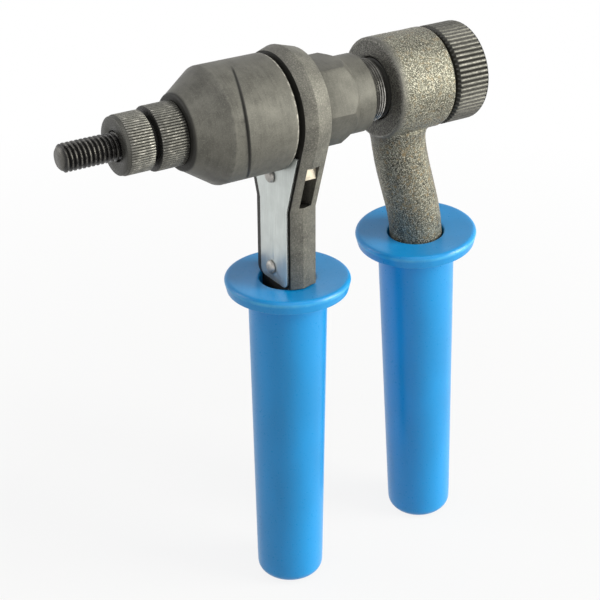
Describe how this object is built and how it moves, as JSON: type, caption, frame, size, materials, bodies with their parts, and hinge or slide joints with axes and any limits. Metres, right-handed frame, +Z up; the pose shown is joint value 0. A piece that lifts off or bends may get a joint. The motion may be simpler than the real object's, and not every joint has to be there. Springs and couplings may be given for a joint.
{
  "type": "rivet nut tool",
  "caption": "Hand tool that sets rivet nuts: a threaded mandrel is drawn back through a knurled anvil by swinging a ratchet lever against a fixed handle.",
  "frame": {"origin": "on the plane that the two grips' ends reach, under the middle of the tool's overall length and width", "axes": "+X along the tool's axis from the nose to the control knob, +Z up from the grips to the tool's axis, +Y to the tool's far side"},
  "size_m": [0.1664, 0.0484, 0.2132],
  "materials": {
    "phosphated_steel": "matt dark grey phosphate",
    "cast_lever_steel": "fine cast surface, phosphated",
    "rough_cast_steel": "rough shot-blasted casting",
    "knurled_steel": "knurled, blackened",
    "black_steel": "black oxide, oiled",
    "zinc_plated_steel": "bright zinc plate",
    "bright_steel": "bare bright steel",
    "cage_brass": "plain brass",
    "blue_plastic": "glossy soft moulding"
  },
  "bodies": {
    "frame": {"nose_housing": "phosphated_steel", "main_body": "phosphated_steel", "rear_head": "rough_cast_steel", "rear_grip": "blue_plastic", "guide_key": "black_steel", "bearing_front_race": "bright_steel", "lever_washer": "black_steel"},
    "lever": {"ratchet_lever": "cast_lever_steel", "cover_plate": "zinc_plated_steel", "upper_rivet": "bright_steel", "lower_rivet": "bright_steel", "front_grip": "blue_plastic", "pawl_spring": "bright_steel"},
    "pawl": {"pawl": "bright_steel"},
    "drive": {"drive_nut": "black_steel", "bearing_rear_race": "bright_steel"},
    "cage": {"bearing_cage": "cage_brass", "bearing_ball_1": "bright_steel", "bearing_ball_2": "bright_steel", "bearing_ball_3": "bright_steel", "bearing_ball_4": "bright_steel", "bearing_ball_5": "bright_steel", "bearing_ball_6": "bright_steel", "bearing_ball_7": "bright_steel", "bearing_ball_8": "bright_steel", "bearing_ball_9": "bright_steel", "bearing_ball_10": "bright_steel", "bearing_ball_11": "bright_steel", "bearing_ball_12": "bright_steel"},
    "spindle": {"pull_spindle": "black_steel", "spindle_washer": "bright_steel"},
    "mandrel_drive": {"mandrel": "black_steel", "control_knob": "knurled_steel", "knob_screw": "bright_steel", "knob_washer": "bright_steel"},
    "anvil": {"anvil": "knurled_steel"},
    "lock": {"lock_ring": "knurled_steel"}
  },
  "joints": [
    {"name": "lever_swing", "type": "hinge", "parent": "frame", "child": "lever", "pos_m": [0.00163, 0.00136, 0.1912], "axis": [1, 0, 0], "range_deg": [-42, 47]},
    {"name": "ratchet_spin", "type": "hinge", "parent": "frame", "child": "drive", "pos_m": [0.00163, 0.00136, 0.1912], "axis": [1, 0, 0], "range_deg": [-42, 47]},
    {"name": "cage_spin", "type": "hinge", "parent": "frame", "child": "cage", "pos_m": [0.00163, 0.00136, 0.1912], "axis": [1, 0, 0], "range_deg": [-21, 23.5]},
    {"name": "pawl_swing", "type": "hinge", "parent": "lever", "child": "pawl", "pos_m": [0.00173, 0.00038, 0.16772], "axis": [1, 0, 0], "range_deg": [0, 6], "stiffness_Nm_per_rad": 0.05, "springref_deg": -17.19, "deforming": ["pawl_spring"]},
    {"name": "spindle_pull", "type": "slide", "parent": "frame", "child": "spindle", "axis": [1, 0, 0], "range_m": [0, 0.007]},
    {"name": "mandrel_spin", "type": "hinge", "parent": "spindle", "child": "mandrel_drive", "pos_m": [0.00163, 0.00136, 0.1912], "axis": [1, 0, 0], "continuous": true},
    {"name": "anvil_turn", "type": "hinge", "parent": "frame", "child": "anvil", "pos_m": [0.00163, 0.00136, 0.1912], "axis": [1, 0, 0], "continuous": true},
    {"name": "lock_ring_turn", "type": "hinge", "parent": "frame", "child": "lock", "pos_m": [0.00163, 0.00136, 0.1912], "axis": [1, 0, 0], "continuous": true}
  ],
  "couplings": [
    {"joint": "ratchet_spin", "follows": "lever_swing", "ratio": 1},
    {"joint": "cage_spin", "follows": "lever_swing", "ratio": 0.5}
  ]
}
